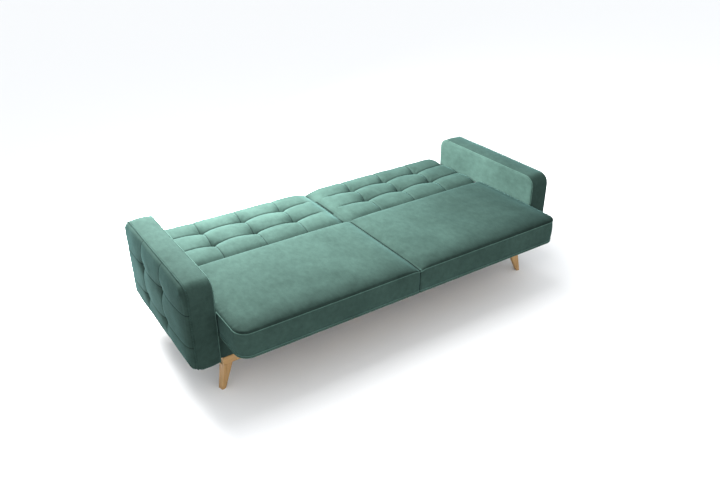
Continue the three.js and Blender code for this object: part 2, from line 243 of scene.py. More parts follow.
def tube(name, path, radius, closed, sides=8):
    """A round cord along a path of points, with flat ends if it isn't closed."""
    path = np.asarray(path, float)
    ahead = np.roll(path, -1, 0) - np.roll(path, 1, 0)
    if not closed:
        ahead[0], ahead[-1] = path[1] - path[0], path[-1] - path[-2]
    ahead /= np.linalg.norm(ahead, axis=1)[:, None]
    up = np.array([0.0, 0.0, 1.0]) if abs(ahead[0][2]) < 0.9 else np.array([1.0, 0.0, 0.0])
    normals = []
    for direction in ahead:
        up = up - direction * (up @ direction)
        up = up / np.linalg.norm(up)
        normals.append(up)
    normals = np.array(normals)
    others = np.cross(ahead, normals)
    angles = np.arange(sides) * (2 * math.pi / sides)
    rings = (
        path[:, None]
        + radius * np.cos(angles)[None, :, None] * normals[:, None]
        + radius * np.sin(angles)[None, :, None] * others[:, None]
    )
    count = len(path)
    index = np.arange(count * sides).reshape(count, sides)
    following = np.roll(index, -1, 0) if closed else index[1:]
    current = index if closed else index[:-1]
    quads = np.stack([current, np.roll(current, -1, 1), np.roll(following, -1, 1), following], -1)
    faces = quads.reshape(-1, 4).tolist()
    if not closed:
        faces += [index[0].tolist(), index[-1].tolist()]
    return new_object(name, rings.reshape(-1, 3), faces)


# ---- materials ----------------------------------------------------------------------------
def node_material(name):
    material = bpy.data.materials.new(name)
    material.use_nodes = True
    tree = material.node_tree
    return material, tree, tree.nodes["Principled BSDF"]


def add(tree, kind, **settings):
    node = tree.nodes.new(kind)
    for key, value in settings.items():
        if key in node.inputs:
            node.inputs[key].default_value = value
        else:
            setattr(node, key, value)
    return node


def coordinates(tree, scale=(1, 1, 1)):
    where = add(tree, "ShaderNodeTexCoord")
    mapping = add(tree, "ShaderNodeMapping")
    mapping.inputs["Scale"].default_value = scale
    tree.links.new(where.outputs["Object"], mapping.inputs["Vector"])
    return mapping.outputs["Vector"]


def noise(tree, vector, scale, detail=3.0, roughness=0.5):
    node = add(tree, "ShaderNodeTexNoise", Scale=scale, Detail=detail, Roughness=roughness)
    tree.links.new(vector, node.inputs["Vector"])
    return node.outputs["Fac"]


def ramp(tree, value, stops):
    node = add(tree, "ShaderNodeValToRGB")
    elements = node.color_ramp.elements
    while len(elements) < len(stops):
        elements.new(0.5)
    for element, (position, color) in zip(elements, stops):
        element.position = position
        element.color = (*color, 1)
    tree.links.new(value, node.inputs["Fac"])
    return node.outputs["Color"]


def mix(tree, share, first, second, blend="MIX"):
    node = add(tree, "ShaderNodeMix", data_type="RGBA", blend_type=blend)
    share_socket, first_socket, second_socket = (node.inputs[k] for k in (0, 6, 7))
    for socket, value in ((share_socket, share), (first_socket, first), (second_socket, second)):
        if isinstance(value, bpy.types.NodeSocket):
            tree.links.new(value, socket)
        else:
            socket.default_value = value if isinstance(value, float) else (*value, 1)
    return node.outputs[2]


def bump(tree, shader, height, strength, distance, under=None):
    node = add(tree, "ShaderNodeBump", Strength=strength, Distance=distance)
    tree.links.new(height, node.inputs["Height"])
    if under is not None:
        tree.links.new(under, node.inputs["Normal"])
    tree.links.new(node.outputs["Normal"], shader.inputs["Normal"])
    return node.outputs["Normal"]


VELVET_DEEP = (0.0183, 0.0340, 0.0287)
VELVET_MID = (0.0222, 0.0410, 0.0347)
VELVET_PALE = (0.0266, 0.0488, 0.0413)
SHEEN_TINT = (0.46, 0.98, 0.95, 1)


def painted_shade_zone(tree, color, axis, span, shares):
    """Darkens a colour along one axis, as painted shade.

    Over span, a stretch of that axis, the colour's share goes from one of the shares to the other."""
    split = add(tree, "ShaderNodeSeparateXYZ")
    tree.links.new(coordinates(tree), split.inputs[0])
    share = add(tree, "ShaderNodeMapRange", interpolation_type="SMOOTHSTEP")
    for socket, value in zip(share.inputs[1:5], (*span, *shares)):
        socket.default_value = value
    tree.links.new(split.outputs[axis], share.inputs[0])
    return mix(tree, 1.0, color, share.outputs[0], "MULTIPLY")


def velvet(name="velvet", light=1.0, sheen=0.13, zones=()):
    """Short-pile velvet: cloudy nap, a soft sheen and a fine pile."""
    material, tree, shader = node_material(name)
    place = coordinates(tree)
    cloud = noise(tree, place, 5.0, 6.0, 0.62)
    color = ramp(tree, cloud, [(0.30, VELVET_DEEP), (0.52, VELVET_MID), (0.74, VELVET_PALE)])
    mottle = noise(tree, coordinates(tree, (1.0, 0.6, 1.0)), 42.0, 5.0, 0.68)
    brushed = ramp(tree, mottle, [(0.34, (0.84, 0.84, 0.84)), (0.66, (1.14, 1.14, 1.14))])
    color = mix(tree, 0.75, color, brushed, "MULTIPLY")
    # light scales the colour; copies with light other than 1 are paler and darker velvets that paint
    # light and shade on chosen faces
    if light != 1.0:
        color = mix(tree, 1.0, color, (light, light, light), "MULTIPLY")
    # painted shade: each zone darkens the colour along one axis
    for zone in zones:
        color = painted_shade_zone(tree, color, *zone)
    tree.links.new(color, shader.inputs["Base Color"])
    shader.inputs["Roughness"].default_value = 0.9
    shader.inputs["Specular IOR Level"].default_value = 0.01
    shader.inputs["Sheen Weight"].default_value = sheen
    shader.inputs["Sheen Roughness"].default_value = 0.32
    shader.inputs["Sheen Tint"].default_value = SHEEN_TINT
    pile = noise(tree, place, 700.0, 2.0, 0.6)
    soft = bump(tree, shader, pile, 0.22, 0.0006)
    creases = noise(tree, place, 38.0, 5.0, 0.65)
    bump(tree, shader, creases, 0.16, 0.003, soft)
    return material


def wood(name, pale, dark, grain_axis, ring_scale=90.0):
    """Sawn wood: long grain along one axis, pores and slow colour drift."""
    material, tree, shader = node_material(name)
    stretch = [1.0, 1.0, 1.0]
    stretch["XYZ".index(grain_axis)] = 0.06
    place = coordinates(tree, stretch)
    rings = noise(tree, place, ring_scale, 6.0, 0.62)
    color = ramp(tree, rings, [(0.30, dark), (0.50, pale), (0.74, tuple(c * 1.08 for c in pale))])
    drift = noise(tree, coordinates(tree), 7.0, 2.0)
    shade = ramp(tree, drift, [(0.3, (0.85, 0.83, 0.80)), (0.7, (1.08, 1.07, 1.05))])
    color = mix(tree, 0.7, color, shade, "MULTIPLY")
    tree.links.new(color, shader.inputs["Base Color"])
    shader.inputs["Roughness"].default_value = 0.48
    pores = noise(tree, place, ring_scale * 4, 3.0)
    bump(tree, shader, pores, 0.2, 0.0004)
    return material


def plain(name, color, roughness, metallic=0.0, scale=400.0, depth=0.0002):
    """A material with a fine grain, for parts that hardly show."""
    material, tree, shader = node_material(name)
    grain = noise(tree, coordinates(tree), scale, 3.0)
    low, high = (tuple(c * k for c in color) for k in (0.82, 1.12))
    tree.links.new(ramp(tree, grain, [(0.3, low), (0.7, high)]), shader.inputs["Base Color"])
    shader.inputs["Roughness"].default_value = roughness
    shader.inputs["Metallic"].default_value = metallic
    bump(tree, shader, grain, 0.3, depth)
    return material


# painted shade on the seat: darker towards its front edge and towards the right cushion's outer end
FRONT_SHADE_ZONE = ("Y", (SEAT_LOW.y + 0.01, SEAT_LOW.y + 0.15), (0.66, 0.96))
END_SHADE_ZONE = ("X", (0.20, 0.95), (1.0, 0.68))
SEAT_SHADE_ZONES = (FRONT_SHADE_ZONE, END_SHADE_ZONE)

VELVET = velvet()
SEAT_VELVET = velvet("velvet_seat", zones=SEAT_SHADE_ZONES)
# painted light: a paler velvet for the seat cushions' walls
LIT_WALL = velvet("velvet_wall_painted_light", 1.22, 0.10)
# painted light: a paler velvet for the arms' inner faces
LIT_ARM_INNER = velvet("velvet_arm_inner_painted_light", 1.48)
# painted highlights: paler velvets for the piping, where light catches its tight curve
HIGHLIGHT_WELT = velvet("velvet_welt_painted_highlight", 2.0, 0.03)
BRIGHT_HIGHLIGHT_WELT = velvet("velvet_bright_welt_painted_highlight", 2.6, 0.03)
DIM_HIGHLIGHT_WELT = velvet("velvet_dim_welt_painted_highlight", 1.1)
# painted shade: a darker velvet along the lines of stitching
CREASE_SHADE = velvet("velvet_crease_shade", 0.55, 0.06)
# painted shade: darker, less glossy velvets for the slopes and folds down to the middle seam and the
# seat's outer ends, darkest along the seam itself
SLOPE_SHADE = velvet("velvet_slope_shade", 0.97, 0.075)
SEAT_SLOPE_SHADE = velvet("velvet_seat_slope_shade", 0.95, 0.075, SEAT_SHADE_ZONES)
FOLD_SHADE = velvet("velvet_fold_shade", 0.85, 0.03)
SEAM_SHADE = velvet("velvet_seam_shade", 0.35, 0.0)

OAK_PALE, OAK_DARK = (0.340, 0.200, 0.076), (0.230, 0.123, 0.039)
OAK_RAIL = wood("oak_rail", OAK_PALE, OAK_DARK, "X")
OAK_LEG = wood("oak_leg", OAK_PALE, OAK_DARK, "Z")
TIMBER = wood("timber", (0.36, 0.32, 0.26), (0.27, 0.235, 0.18), "X", 60.0)
PLYWOOD = wood("plywood", (0.33, 0.29, 0.225), (0.26, 0.22, 0.165), "X", 40.0)
LINING = plain("lining_cloth", (0.018, 0.019, 0.021), 0.95, scale=1500.0)
STEEL = plain("zinc_steel", (0.50, 0.51, 0.53), 0.36, 1.0, scale=60.0)
NYLON = plain("nylon", (0.78, 0.77, 0.73), 0.5)
SLOT_MATERIALS = {
    "velvet": VELVET,
    "oak": OAK_RAIL,
    "timber": TIMBER,
    "plywood": PLYWOOD,
    "dark_cloth": LINING,
    "steel": STEEL,
    "nylon": NYLON,
}


def face_centres(piece):
    flat = np.zeros(len(piece.data.polygons) * 3)
    piece.data.polygons.foreach_get("center", flat)
    return flat.reshape(-1, 3)


def shade(piece, *zones):
    """Paints light and shade on some faces with paler and darker copies of the velvet. Each zone is
    (material, which faces).
    """
    index = np.zeros(len(piece.data.polygons), int)
    for material, chosen in zones:
        piece.data.materials.append(material)
        index[chosen] = len(piece.data.materials) - 1
    piece.data.polygons.foreach_set("material_index", index)


def dress(piece, material, body):
    piece.data.materials.clear()
    piece.data.materials.append(material)
    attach(piece, body)
    return piece


# ---- seat cushions ------------------------------------------------------------------------
SEAT_WELT_Z = SEAT_HIGH.z - 0.0145  # height of the top piping
SEAT_WIDTH = CUSHION_END
SEAT_DEPTH = SEAT_HIGH.y - SEAT_LOW.y
SEAT_CELL = 0.0062  # mesh size
SEAT_CORNERS = (0.003, 0.058, 0.014, 0.003)  # front middle, front end, rear end, rear middle
SEAT_ROLL = 0.005
SEAT_MIDDLE_ROLL = 0.004
SEAT_BAND = 0.014  # from the lower stitch line to the bottom edge
SEAT_WALL = SEAT_WELT_Z - SEAT_FRAME_LOW.z
SEAT_CROWN = 0.023
SEAT_SWELL = 0.006  # how far the walls stand out
SEAT_SLACK = 0.0007
SEAT_PUCKER = 0.0011  # gathers along the piping
SEAT_PUCKER_LENGTH = 0.021
SEAT_MIDDLE_DIP = 0.008
SEAT_MIDDLE_SLOPE = 0.024  # width of the slope down to the middle seam, which gets painted shade
SEAT_END_SLOPE = 0.045
SEAT_SKIRT = 0.0072  # from the rear edge in to the frame
SEAT_FRAME_REACH = 0.015  # half the width of wall that is lifted over the frame
SEAT_FRAME_ENDS = (0.0138, 0.0075)  # hems left at full height at the front and the rear
WALL_STEPS = 10
WALL_TOP_LEVEL = 3  # the ring under the top piping
WALL_LOW_LEVEL = WALL_TOP_LEVEL + WALL_STEPS
HEM_LEVEL = WALL_LOW_LEVEL + 3


def seat_rings():
    """The roll at the top, the wall, the pinched lower band, then the hem turned under."""
    rings = [(math.sin(a), 0, SEAT_ROLL * (1 - math.cos(a))) for a in np.radians((30, 60, 90))]
    wall = SEAT_WALL - SEAT_BAND
    rings += [(1, 0, SEAT_ROLL + wall * k / WALL_STEPS) for k in range(1, WALL_STEPS + 1)]
    low = SEAT_ROLL + SEAT_WALL
    rings += [(1, 0.003, low - SEAT_BAND + 0.002), (1, 0.0005, low - SEAT_BAND * 0.6)]
    rings += [(1, 0.001, low - 0.004), (1, 0.004, low)]
    rings += [(1, 0.013, low), (1, 0.0135, low - DECK_CLEAR)]
    return rings


def clear_frame(points, front, rear, reach, ends):
    """Lifts the wall along the middle seam above the frame that runs through under it."""
    middle = (np.abs(points[:, 0]) < reach) & (front > ends[0]) & (rear > ends[1])
    points[:, 2] = np.where(middle, np.maximum(points[:, 2], UNDERSIDE_Z), points[:, 2])


def clear_ends(points, sign, share):
    """Keeps a cushion on its own side of the middle, and its outer end inside the hinge plates.

    share says how far the outer end is drawn in at each point."""
    out = points[:, 0] * sign
    share = share * np.clip((HINGE_TOP - points[:, 2]) / HINGE_FADE + 1, 0, 1)
    inside = out - share * np.maximum(out - HINGE_INNER + WELT_ROOM, 0)
    points[:, 0] = sign * np.maximum(inside, MIDDLE_GAP)


SEAM_HALF = 0.004  # half the width of the line of painted shade where two cushions meet
# name, level, radius, how far it stands off the cover, material
SEAT_WELTS = (
    ("welt", WALL_TOP_LEVEL, 0.0024, 0.0009, HIGHLIGHT_WELT),
    ("lower_welt", WALL_LOW_LEVEL, 0.0022, 0.0009, BRIGHT_HIGHLIGHT_WELT),
    ("hem", HEM_LEVEL, 0.0020, 0.0012, BRIGHT_HIGHLIGHT_WELT),
)


def add_seat_welt(side, pad, name, level, radius, offset, material):
    """Piping round the front, outer end and rear of a seat cushion, not along the middle."""
    around = 2 * pad.counts[0] + pad.counts[1] + 1
    path = pad.line(level, 0, around)
    outward = path - path.mean(0)
    outward[:, 2] = 0
    path = path + offset * outward / np.linalg.norm(outward, axis=1)[:, None]
    dress(tube(f"{side}_seat_{name}", path, radius, False), material, "seat")


def add_seat(side):
    sign = SIDES[side]

    def place(s, t, height):
        z = SEAT_WELT_Z + SEAT_ROLL + height
        return np.stack([sign * (s + MIDDLE_GAP), SEAT_LOW.y + t, z], -1)

    keys_s, keys_t = [0, SEAT_WIDTH], [0, SEAT_DEPTH]
    edge = (SEAT_MIDDLE_ROLL, SEAT_ROLL, SEAT_ROLL, SEAT_ROLL)
    name, rings = f"{side}_seat_cover", seat_rings()
    pad = Pad(name, keys_s, keys_t, SEAT_CELL, SEAT_CORNERS, edge, rings, place, tuck=MIDDLE_TUCK)
    shape_seat(pad, sign)
    dress(pad.piece, SEAT_VELVET, "seat")
    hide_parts(f"{side}_seat_cushion")
    centres = face_centres(pad.piece)
    across = np.abs(centres[:, 0])
    wall = centres[:, 2] < SEAT_WELT_Z
    slope = ~wall & ((SEAT_WIDTH - across < SEAT_END_SLOPE) | (across < SEAT_MIDDLE_SLOPE))
    fold = ~wall & (across < SEAT_MIDDLE_SLOPE / 2)
    # painted light on the walls; painted shade on the slopes to the middle and the outer end, deeper
    # in the fold and darkest along the middle seam
    shade(pad.piece, (LIT_WALL, wall), (SEAT_SLOPE_SHADE, slope), (FOLD_SHADE, fold), (SEAM_SHADE, across < SEAM_HALF))
    for welt in SEAT_WELTS:
        add_seat_welt(side, pad, *welt)


def shape_seat(pad, sign):
    """Crowns the top, swells the walls, rolls into the middle seam and puckers along the piping."""
    points = points_of(pad.piece)
    x, y, z = np.abs(points[:, 0]), points[:, 1], points[:, 2]
    top = z > SEAT_WELT_Z + SEAT_ROLL - 1e-5
    front, rear, end = y - SEAT_LOW.y, SEAT_HIGH.y - y, SEAT_WIDTH - x
    crown = 0.35 * rise(front, 0.012) + 0.65 * rise(front, 0.050)
    crown *= 0.25 * rise(end, 0.012) + 0.75 * rise(end, 0.055)
    crown *= 0.7 * rise(rear, 0.012) + 0.3 * rise(rear, 0.060)
    crown *= rise(x, 0.048)
    wander = 0.0016 * ripple(points, 0.30, SEED) + 0.0006 * ripple(points, 0.10, SEED + 1)
    along_front = ripple(points * (1, 0.2, 0), SEAT_PUCKER_LENGTH, SEED + 2)
    along_end = ripple(points * (0.2, 1, 0), SEAT_PUCKER_LENGTH, SEED + 9)
    pucker = along_front * bell(front - 0.012, 0.016) + along_end * bell(end - 0.012, 0.016)
    lift = np.where(top, SEAT_CROWN * crown + wander * crown + SEAT_PUCKER * pucker, 0)
    depth = SEAT_WELT_Z - z
    down = np.clip(depth / (SEAT_WALL - SEAT_BAND), 0, 1)
    slack = SEAT_SLACK * ripple(points, 0.05, SEED + 4)
    room = rise(x, 0.02) * (1 - 0.8 * bell(rear, 0.03)) * (1 - 0.6 * bell(end, 0.03))
    wall = (pad.level > WALL_TOP_LEVEL) & (pad.level <= WALL_LOW_LEVEL)
    swell = np.where(wall, (SEAT_SWELL + slack) * np.sin(math.pi * down) * room, 0)
    pad.push(lift + swell)
    points = points_of(pad.piece)
    upper = np.where(top, 1, bell(depth, 0.05))
    points[:, 2] -= SEAT_MIDDLE_DIP * bell(x, 0.020) * (0.4 + 0.6 * bell(front, 0.06)) * upper
    clear_frame(points, front, rear, SEAT_FRAME_REACH, SEAT_FRAME_ENDS)
    skirt = (rear < 0.015) & (pad.level > WALL_LOW_LEVEL + 1)
    held = np.maximum(points[:, 1], SEAT_HIGH.y - SEAT_SKIRT)
    points[:, 1] = np.where(skirt, held, points[:, 1])
    clear_ends(points, sign, np.clip((points[:, 1] - HINGE_FRONT) / HINGE_BLEND + 1, 0, 1))
    set_points(pad.piece, points)


# ---- tufting ------------------------------------------------------------------------------
STITCH_REACH = 0.007
DIMPLE = 0.008  # extra depth right at a tuft
GATHER = 0.0009  # small folds that fan out from a tuft


def nearest(values, lines):
    lines = np.array(lines)
    index = np.abs(values[:, None] - lines[None]).argmin(1)
    return values - lines[index], index


def sag(distance, half_pitch):
    """1 at a tuft and 0 halfway to the next one, with a point at the tuft."""
    return np.clip(1 - np.abs(distance) / half_pitch, 0, 1) ** 2


def tufted_depth(s, t, columns, rows, pitch, row_seam, column_seam, stitch, seed):
    """How far each point is drawn in below the full pad.

    A seam is (depth between tufts, extra depth at a tuft, reach to each side).
    stitch is the depth of its fine groove."""
    ds, column = nearest(s, columns)
    dt, row = nearest(t, rows)
    row_depth, row_sag, row_reach = row_seam
    column_depth, column_sag, column_reach = column_seam
    along_row = row_depth + row_sag * sag(ds, pitch[0] / 2)
    along_column = column_depth + column_sag * sag(dt, pitch[1] / 2)
    depth = along_row * cusp(dt, row_reach) + along_column * cusp(ds, column_reach)
    stitching = stitch * (cusp(ds, STITCH_REACH) + cusp(dt, STITCH_REACH))
    away, turn = np.hypot(ds, dt), np.arctan2(dt, ds)
    key = column * 12.9898 + row * 78.233 + seed  # turns the folds differently at each tuft
    dimple = DIMPLE * np.exp(-((away / 0.011) ** 1.3))
    gather = np.sin(9 * turn + 3 * key) + 0.7 * np.sin(5 * turn + key)
    return depth + stitching + dimple + GATHER * gather * bell(away - 0.022, 0.014)


def on_stitches(s, t, columns, rows):
    """True next to a line of stitching."""
    by_column, by_row = np.abs(nearest(s, columns)[0]), np.abs(nearest(t, rows)[0])
    return (by_column < STITCH_HALF) | (by_row < STITCH_HALF)


# ---- back cushions ------------------------------------------------------------------------
TUFT_PITCH = (0.2368, 0.1535)
BACK_DEPTH = BACK_HIGH.y - BACK_LOW.y
BACK_ROWS = [BACK_DEPTH - 0.140 - TUFT_PITCH[1], BACK_DEPTH - 0.140]
BACK_COLUMNS = [TUFT_PITCH[0] * k for k in (1, 2, 3)]
BACK_ROW_SEAM = (0.011, 0.024, 0.074)  # depth between tufts, extra depth at a tuft, reach
BACK_COLUMN_SEAM = (0.0030, 0.005, 0.035)
BACK_STITCH = 0.0042
BACK_CELL = 0.0056  # mesh size
BACK_FACE_Z = BACK_HIGH.z + 0.006
BACK_EDGE = (0.070, 0.034, 0.055, 0.045)  # middle, outer end, near the seat, far
BACK_CORNERS = (0.024, 0.014, 0.020, 0.024)  # near middle, near end, far end, far middle
BACK_SQUARE = (1.0, 0.5, 0.3, 1.0)
BACK_ROLL_DROP = 0.030
BACK_WALL_STEPS = 9
BACK_MIDDLE_DIP = 0.016
BACK_MIDDLE_SLOPE = 0.034  # width of the slope down to the middle seam, which gets painted shade
BACK_MIDDLE_FOLD = 0.018  # its steepest part, which gets deeper painted shade
SEAMS_START = 0.075  # the painted crease shade along the stitching stops nearer to the middle than this, where the cross seams fade out
NEAR_SKIRT = 0.0052  # from the near edge in to the frame
FAR_SKIRT = 0.0135  # from the far edge in to the frame
BACK_FRAME_REACH = 0.014  # half the width of wall that is lifted over the frame
BACK_FRAME_ENDS = (0.0055, FAR_SKIRT)  # hems left at full height near the seat and far from it


def back_rings():
    """The wide roll at the top, the wall, then the hem turned under to the deck."""
    rings = [
        (math.sin(a), 0, BACK_ROLL_DROP * (1 - math.cos(a)))
        for a in np.radians((12, 24, 36, 48, 60, 72, 90))
    ]
    low = BACK_FACE_Z - BACK_PANEL_LOW.z - 0.001
    wall = low - BACK_ROLL_DROP - 0.006
    steps = range(1, BACK_WALL_STEPS + 1)
    rings += [(1, 0, BACK_ROLL_DROP + wall * k / BACK_WALL_STEPS) for k in steps]
    rings += [(1, 0.004, low), (1, 0.0128, low), (1, 0.0132, low - DECK_CLEAR)]
    return rings


def shape_back(pad, sign):
    """Draws in the tufts and seams, dips to the middle seam and fits the skirt to the frame."""
    points = points_of(pad.piece)
    s, t = np.abs(points[:, 0]), points[:, 1] - BACK_LOW.y
    seams = (BACK_ROW_SEAM, BACK_COLUMN_SEAM)
    deep = tufted_depth(s, t, BACK_COLUMNS, BACK_ROWS, TUFT_PITCH, *seams, BACK_STITCH, sign)
    below = np.clip((BACK_FACE_Z - points[:, 2] - 0.022) / 0.045, 0, 1)
    full = 0.004 * rise(t - 0.03, 0.03) * rise(BACK_DEPTH - 0.03 - t, 0.03) - 0.014 * bell(t, 0.060)
    wander = 0.0012 * ripple(points, 0.16, SEED + 3)
    fade = np.clip((s - 0.035) / 0.060, 0, 1)
    pad.push((full + wander - deep * fade) * (1 - below))
    points = points_of(pad.piece)
    upper = np.clip((points[:, 2] - BACK_PANEL_LOW.z - 0.055) / 0.045, 0, 1)
    points[:, 2] -= BACK_MIDDLE_DIP * bell(s, 0.060) * upper
    clear_frame(points, t, BACK_DEPTH - t, BACK_FRAME_REACH, BACK_FRAME_ENDS)
    low = points[:, 2] < UNDERSIDE_Z + 0.001
    beside = (t < BACK_DEPTH - FAR_SKIRT) & (t > BACK_DEPTH - 0.03)
    corner = low & beside & (s < BACK_FRAME_REACH)
    points[:, 1] = np.where(corner, BACK_HIGH.y - FAR_SKIRT, points[:, 1])
    held = np.minimum(points[:, 1], BACK_LOW.y + NEAR_SKIRT)
    points[:, 1] = np.where(low & (t < 0.014), held, points[:, 1])
    clear_ends(points, sign, np.clip((HINGE_REAR - points[:, 1]) / HINGE_BLEND + 1, 0, 1))
    set_points(pad.piece, points)


def add_back(side):
    sign = SIDES[side]

    def place(s, t, height):
        return np.stack([sign * (s + MIDDLE_GAP), BACK_LOW.y + t, BACK_FACE_Z + height], -1)

    keys_s = around_lines(BACK_COLUMNS, 0, CUSHION_END)
    keys_t = around_lines(BACK_ROWS, 0, BACK_DEPTH)
    shape = (BACK_CELL, BACK_CORNERS, BACK_EDGE, back_rings(), place, BACK_SQUARE, MIDDLE_TUCK)
    pad = Pad(f"{side}_back_cover", keys_s, keys_t, *shape)
    shape_back(pad, sign)
    dress(pad.piece, VELVET, "back")
    centres = face_centres(pad.piece)
    across, along = np.abs(centres[:, 0]), centres[:, 1] - BACK_LOW.y
    # painted shade along the stitching, and on the slope, fold and seam at the middle
    shade(
        pad.piece,
        (CREASE_SHADE, on_stitches(across, along, BACK_COLUMNS, BACK_ROWS) & (across > SEAMS_START)),
        (SLOPE_SHADE, across < BACK_MIDDLE_SLOPE),
        (FOLD_SHADE, across < BACK_MIDDLE_FOLD),
        (SEAM_SHADE, across < SEAM_HALF),
    )
    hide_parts(f"{side}_back_cushion")


# ---- arms ---------------------------------------------------------------------------------
ARM_RADII = (0.012, 0.012, 0.052, 0.052)  # front bottom, rear bottom, rear top, front top
ARM_LENGTH = ARM_HIGH.y - ARM_LOW.y
ARM_HEIGHT = ARM_HIGH.z - ARM_LOW.z
ARM_WIDTH = ARM_HIGH.x - ARM_LOW.x
ARM_EDGE = 0.005
ARM_CELL = 0.012  # mesh size
ARM_TUCK = 0.030  # radius where the outer side turns under
ARM_BAND_STEPS = 12
ARM_BAND_SWELL = 0.004  # how far the band between the two pipings stands out
ARM_WELT_RADIUS = 0.0022
PAD_CELL = 0.0062
PAD_MARGIN = 0.002  # the tufted pad is this much smaller than the arm all round
PAD_FOOT = 0.004  # how far its edge stands off the arm
PAD_EDGE = 0.018
PAD_SWELL = PAD_HIGH.x - ARM_HIGH.x
PAD_CROWN = 0.006
PAD_RIM_DROP = 0.009
ARM_TUFT_PITCH = (0.243, 0.167)
ARM_SEAM = (0.0008, 0.008, 0.060)  # depth between tufts, extra depth at a tuft, reach
ARM_STITCH = 0.0012


def arm_rings():
    rings = [(math.sin(a), 0, ARM_EDGE * (1 - math.cos(a))) for a in np.radians((45, 90))]
    band = ARM_WIDTH - ARM_EDGE
    for k in range(1, ARM_BAND_STEPS + 1):
        share = k / ARM_BAND_STEPS
        rings.append((1, -ARM_BAND_SWELL * math.sin(math.pi * share), ARM_EDGE + band * share))
    return rings


def pad_rings():
    drop = PAD_SWELL - PAD_FOOT
    return [(math.sin(a), 0, drop * (1 - math.cos(a))) for a in np.radians(np.arange(10, 91, 10))]


def tuck_under(points):
    """Rounds the corner between an arm's outer side and its bottom."""
    sign, x = np.sign(points[:, 0]), np.abs(points[:, 0])
    out = np.clip(x - (ARM_HIGH.x - ARM_TUCK), 0, ARM_TUCK)
    down = np.maximum(ARM_LOW.z + ARM_TUCK - points[:, 2], 0)
    reach = np.maximum(np.hypot(out, down), 1e-9)
    pull = np.where((out > 0) & (down > 0), np.maximum(out, down) / reach, 1)
    lifted = points.copy()
    lifted[:, 2] += down * (1 - pull)
    lifted[:, 0] = sign * (x - out * (1 - pull))
    return lifted


def add_arm(side):
    sign = SIDES[side]

    def face_in(s, t, height):
        return np.stack([sign * (ARM_LOW.x - height), ARM_LOW.y + s, ARM_LOW.z + t], -1)

    keys_s, keys_t = [0, ARM_LENGTH], [0, ARM_HEIGHT]
    edge = (ARM_EDGE,) * 4
    shape = (ARM_CELL, ARM_RADII, edge, arm_rings(), face_in)
    cover = Pad(f"{side}_arm_velvet", keys_s, keys_t, *shape)
    points = points_of(cover.piece)
    cover.push(0.0009 * ripple(points, 0.22, SEED + 5))
    points = tuck_under(points_of(cover.piece))
    points[:, 0] = sign * np.maximum(np.abs(points[:, 0]), ARM_LOW.x)
    set_points(cover.piece, points)
    dress(cover.piece, VELVET, "base")
    out = np.abs(face_centres(cover.piece)[:, 0])
    # painted light: a paler velvet on the arm's inner face
    shade(cover.piece, (LIT_ARM_INNER, out < ARM_LOW.x + 0.003))
    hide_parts(f"{side}_arm_cover")
    for name, level, material in (("inner", 2, HIGHLIGHT_WELT), ("outer", 2 + ARM_BAND_STEPS, DIM_HIGHLIGHT_WELT)):
        welt = tube(f"{side}_arm_{name}_welt", cover.line(level), ARM_WELT_RADIUS, True)
        dress(welt, material, "base")
    add_arm_pad(side)


def add_arm_pad(side):
    sign = SIDES[side]
    length, height = ARM_LENGTH - 2 * PAD_MARGIN, ARM_HEIGHT - 2 * PAD_MARGIN

    def face_out(s, t, rise_out):
        x = ARM_HIGH.x + PAD_SWELL + rise_out - PAD_FOOT
        return np.stack([sign * x, ARM_LOW.y + PAD_MARGIN + s, ARM_LOW.z + PAD_MARGIN + t], -1)

    columns = [(length + k * ARM_TUFT_PITCH[0]) / 2 for k in (-1, 1)]
    rows = [(height + k * ARM_TUFT_PITCH[1]) / 2 for k in (-1, 1)]
    keys_s, keys_t = around_lines(columns, 0, length), around_lines(rows, 0, height)
    radii = [max(0.003, radius + ARM_EDGE - PAD_MARGIN - PAD_EDGE) for radius in ARM_RADII]
    edge = (PAD_EDGE,) * 4
    shape = (PAD_CELL, radii, edge, pad_rings(), face_out)
    pad = Pad(f"{side}_arm_tufted_pad", keys_s, keys_t, *shape)
    points = points_of(pad.piece)
    s, t = points[:, 1] - ARM_LOW.y - PAD_MARGIN, points[:, 2] - ARM_LOW.z - PAD_MARGIN
    seams = (ARM_SEAM, ARM_SEAM)
    deep = tufted_depth(s, t, columns, rows, ARM_TUFT_PITCH, *seams, ARM_STITCH, 5 * sign)
    out = (np.abs(points[:, 0]) - ARM_HIGH.x) / PAD_SWELL
    fade = np.clip(out * 1.4 - 0.1, 0, 1)
    over_s, over_t = (np.sin(math.pi * np.clip(k, 0, 1)) for k in (s / length, t / height))
    rim = np.minimum(np.minimum(s, length - s), np.minimum(t, height - t)) - PAD_EDGE
    crown = PAD_CROWN * over_s * over_t - PAD_RIM_DROP * np.exp(-np.maximum(rim, 0) / 0.024)
    wander = 0.001 * ripple(points, 0.15, SEED + 6)
    pad.push((crown + wander - deep) * fade)
    set_points(pad.piece, tuck_under(points_of(pad.piece)))
    dress(pad.piece, VELVET, "base")
    centres = face_centres(pad.piece)
    across, along = centres[:, 1] - ARM_LOW.y - PAD_MARGIN, centres[:, 2] - ARM_LOW.z - PAD_MARGIN
    # painted shade along the stitching
    shade(pad.piece, (CREASE_SHADE, on_stitches(across, along, columns, rows)))
    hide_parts(f"{side}_arm_outer_pad")


# ---- covered boards -----------------------------------------------------------------------
PANEL_ROLL = 0.006
PANEL_SWELL = 0.0012
PANEL_CELL = 0.018  # mesh size
PANEL_CORNER = 0.004
PANEL_BACKING = 0.0005  # how much thinner than the board the cover is


